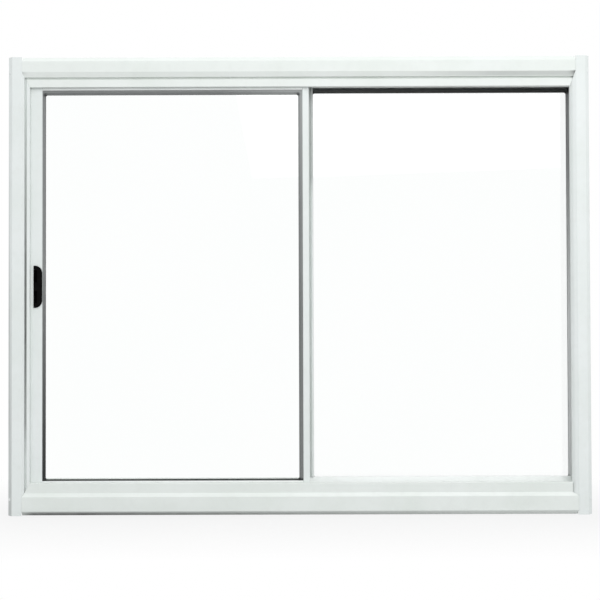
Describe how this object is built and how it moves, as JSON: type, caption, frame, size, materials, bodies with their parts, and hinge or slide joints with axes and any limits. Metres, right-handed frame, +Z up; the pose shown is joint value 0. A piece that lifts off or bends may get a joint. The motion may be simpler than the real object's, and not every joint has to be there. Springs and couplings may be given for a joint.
{
  "type": "aluminium window with a sliding sash and a fixed light",
  "caption": "White aluminium window with a sliding sash beside a fixed light, a flush black latch and a casing round the frame.",
  "frame": {"origin": "middle of the sill's flat underside, where the frame stands on the wall opening", "axes": "+Z up; +X along the width, to the right seen from the room; +Y from the room to the outside"},
  "size_m": [1.5, 0.075, 1.18],
  "materials": {
    "white_coated_aluminium": "satin",
    "clear_glass": "polished",
    "black_gasket": "matte",
    "black_plastic": "satin",
    "grey_plastic": "satin",
    "pale_plastic": "satin",
    "white_plastic": "satin",
    "pile": "matte",
    "steel": "satin"
  },
  "bodies": {
    "root": {"anti_lift_blocks": "grey_plastic", "fixed_bead_bottom": "white_coated_aluminium", "fixed_bead_left": "white_coated_aluminium", "fixed_bead_right": "white_coated_aluminium", "fixed_bead_top": "white_coated_aluminium", "fixed_gasket_inner": "black_gasket", "fixed_gasket_outer": "black_gasket", "fixed_glass": "clear_glass", "fixed_mullion": "white_coated_aluminium", "fixed_setting_blocks": "black_gasket", "head_track": "white_coated_aluminium", "jamb_left": "white_coated_aluminium", "jamb_right": "white_coated_aluminium", "latch_case": "black_plastic", "latch_slider": "black_plastic", "pile_strips": "pile", "roller_axles": "steel", "roller_housings": "grey_plastic", "roller_wheels": "pale_plastic", "sash_bottom_rail": "white_coated_aluminium", "sash_gasket_inner": "black_gasket", "sash_gasket_outer": "black_gasket", "sash_glass": "clear_glass", "sash_lock_stile": "white_coated_aluminium", "sash_meeting_stile": "white_coated_aluminium", "sash_setting_blocks": "black_gasket", "sash_top_rail": "white_coated_aluminium", "sill_track": "white_coated_aluminium", "weep_hoods": "white_plastic"}
  },
  "joints": []
}
